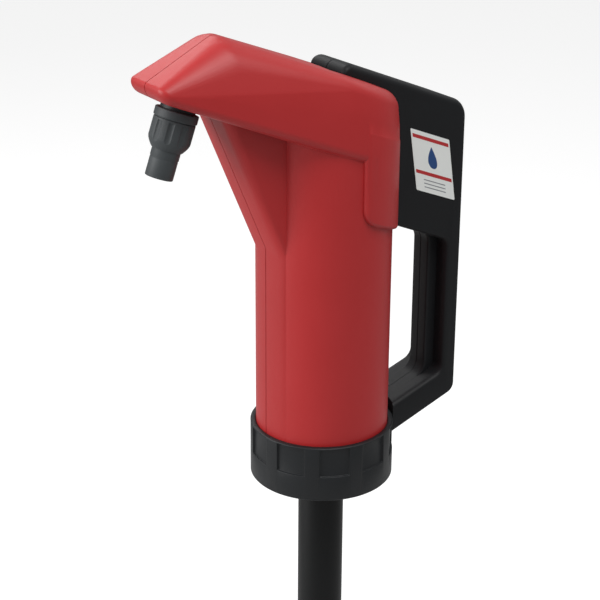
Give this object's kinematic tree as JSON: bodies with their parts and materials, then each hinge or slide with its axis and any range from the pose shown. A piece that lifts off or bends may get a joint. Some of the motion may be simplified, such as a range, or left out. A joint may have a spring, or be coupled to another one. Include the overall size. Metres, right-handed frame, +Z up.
{
  "type": "lever-action drum pump",
  "caption": "Hand piston pump for a drum: a hinged D-grip lever works the piston in an upright casing, with a hooked spout and a suction tube through a 2 inch bung adapter.",
  "frame": {"origin": "centre of the bung seat, at the underside of the adapter's sealing washer, on the axis of the bung thread", "axes": "+Z up along the suction tube, +X towards the handle, -X towards the spout, +Y to the side that the case screws are driven from"},
  "size_m": [0.243, 0.1032, 0.8228],
  "materials": {
    "casing": "satin, fine grain",
    "black_plastic": "satin",
    "natural_plastic": "satin",
    "steel": "turned",
    "rubber": "matt",
    "label": "satin film"
  },
  "bodies": {
    "adapter": {"bung_adapter": "black_plastic", "adapter_washer": "rubber", "adapter_seal": "rubber", "adapter_nut": "black_plastic"},
    "pump": {"casing_left": "casing", "casing_right": "casing", "casing_screws": "steel", "collar_nut": "black_plastic", "foot_plate": "black_plastic", "foot_seal": "rubber", "foot_valve_stop": "steel", "pump_barrel": "natural_plastic", "head_seal": "rubber", "barrel_head": "natural_plastic", "rod_seal": "rubber", "gland_nut": "steel", "outlet_duct": "black_plastic", "duct_seal": "rubber", "nozzle_washer": "rubber", "nozzle_tail": "black_plastic", "nozzle_nut": "black_plastic", "pivot_pin": "steel", "suction_tube": "black_plastic", "telescope_nut": "black_plastic", "telescope_seal": "rubber"},
    "lever": {"lever_left": "black_plastic", "lever_right": "black_plastic", "lever_screws": "steel", "lever_label": "label", "pivot_bush": "natural_plastic", "drive_pin": "steel"},
    "piston": {"piston_rod": "steel", "piston": "natural_plastic", "piston_seal": "rubber", "piston_nut": "steel", "crosshead": "steel"},
    "piston_valve": {"piston_valve_disc": "rubber"},
    "foot_valve": {"foot_valve_disc": "rubber"},
    "telescope": {"telescope_tube": "black_plastic", "telescope_guide": "natural_plastic", "strainer": "black_plastic"}
  },
  "joints": [
    {"name": "pump_height", "type": "slide", "parent": "adapter", "child": "pump", "axis": [0, 0, 1], "range_m": [-0.12, 0.2]},
    {"name": "tube_reach", "type": "slide", "parent": "pump", "child": "telescope", "axis": [0, 0, -1], "range_m": [0, 0.4]},
    {"name": "lever_hinge", "type": "hinge", "parent": "pump", "child": "lever", "pos_m": [0.037, 0, 0.415], "axis": [0, -1, 0], "range_deg": [0, 90]},
    {"name": "piston_stroke", "type": "slide", "parent": "pump", "child": "piston", "axis": [0, 0, 1], "range_m": [-0.0623, 0]},
    {"name": "piston_valve_lift", "type": "slide", "parent": "piston", "child": "piston_valve", "axis": [0, 0, 1], "range_m": [0, 0.003]},
    {"name": "foot_valve_lift", "type": "slide", "parent": "pump", "child": "foot_valve", "axis": [0, 0, 1], "range_m": [0, 0.003]}
  ],
  "couplings": [
    {"joint": "piston_stroke", "follows": "lever_hinge", "m_per_rad": -0.039614}
  ]
}
